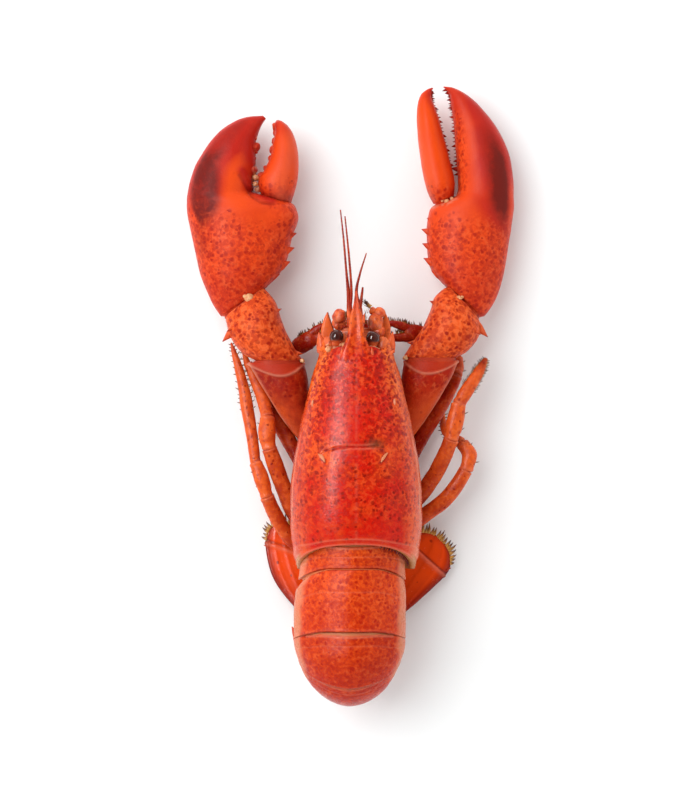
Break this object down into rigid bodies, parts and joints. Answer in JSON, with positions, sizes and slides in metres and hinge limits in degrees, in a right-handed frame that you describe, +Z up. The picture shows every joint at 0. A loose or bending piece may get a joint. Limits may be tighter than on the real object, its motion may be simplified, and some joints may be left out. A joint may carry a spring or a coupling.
{
  "type": "whole boiled lobster",
  "caption": "Whole boiled lobster lying on its belly: broad crusher claw and slender cutter claw forward, walking legs folded along the body, tail curled under.",
  "frame": {"origin": "on the table, under the middle of the whole", "axes": "+Y from the tail to the claws, +X to the lobster's right, +Z up"},
  "size_m": [0.1474, 0.2777, 0.0599],
  "materials": {
    "carapace shell": "boiled shell, glossy, orange-red with darker dots",
    "claw shell": "boiled shell, glossy, orange-red with maroon patches",
    "limb shell": "boiled shell of legs and underside, orange",
    "tail shell": "boiled shell of the tail plates, glossy",
    "fan blade": "thin shell, deep orange-red, fringed",
    "eye": "black-brown, wet gloss",
    "antenna": "boiled shell of the feelers, orange"
  },
  "bodies": {
    "root": {"abdomen_1": "tail shell", "abdomen_2": "tail shell", "abdomen_3": "tail shell", "abdomen_4": "tail shell", "abdomen_5": "tail shell", "abdomen_6": "tail shell", "antenna_peduncle_left": "antenna", "antenna_peduncle_right": "antenna", "antenna_scale_left": "limb shell", "antenna_scale_right": "limb shell", "antennule_left": "antenna", "antennule_right": "antenna", "carapace": "carapace shell", "crusher_carpus": "claw shell", "crusher_merus": "claw shell", "crusher_palm": "claw shell", "crusher_thumb": "claw shell", "cutter_carpus": "claw shell", "cutter_merus": "claw shell", "cutter_palm": "claw shell", "cutter_thumb": "claw shell", "eye_left": "eye", "eye_right": "eye", "head": "limb shell", "leg_1_left_carpus": "limb shell", "leg_1_left_foot": "limb shell", "leg_1_left_merus": "limb shell", "leg_1_right_carpus": "limb shell", "leg_1_right_foot": "limb shell", "leg_1_right_merus": "limb shell", "leg_2_left_carpus": "limb shell", "leg_2_left_foot": "limb shell", "leg_2_left_merus": "limb shell", "leg_2_right_carpus": "limb shell", "leg_2_right_foot": "limb shell", "leg_2_right_merus": "limb shell", "leg_3_left_carpus": "limb shell", "leg_3_left_foot": "limb shell", "leg_3_left_merus": "limb shell", "leg_3_right_carpus": "limb shell", "leg_3_right_foot": "limb shell", "leg_3_right_merus": "limb shell", "leg_4_left_carpus": "limb shell", "leg_4_left_foot": "limb shell", "leg_4_left_merus": "limb shell", "leg_4_right_carpus": "limb shell", "leg_4_right_foot": "limb shell", "leg_4_right_merus": "limb shell", "maxilliped_left": "limb shell", "maxilliped_right": "limb shell", "telson": "fan blade", "thorax": "limb shell", "uropod_inner_left": "fan blade", "uropod_inner_right": "fan blade", "uropod_outer_left": "fan blade", "uropod_outer_right": "fan blade"}
  },
  "joints": []
}
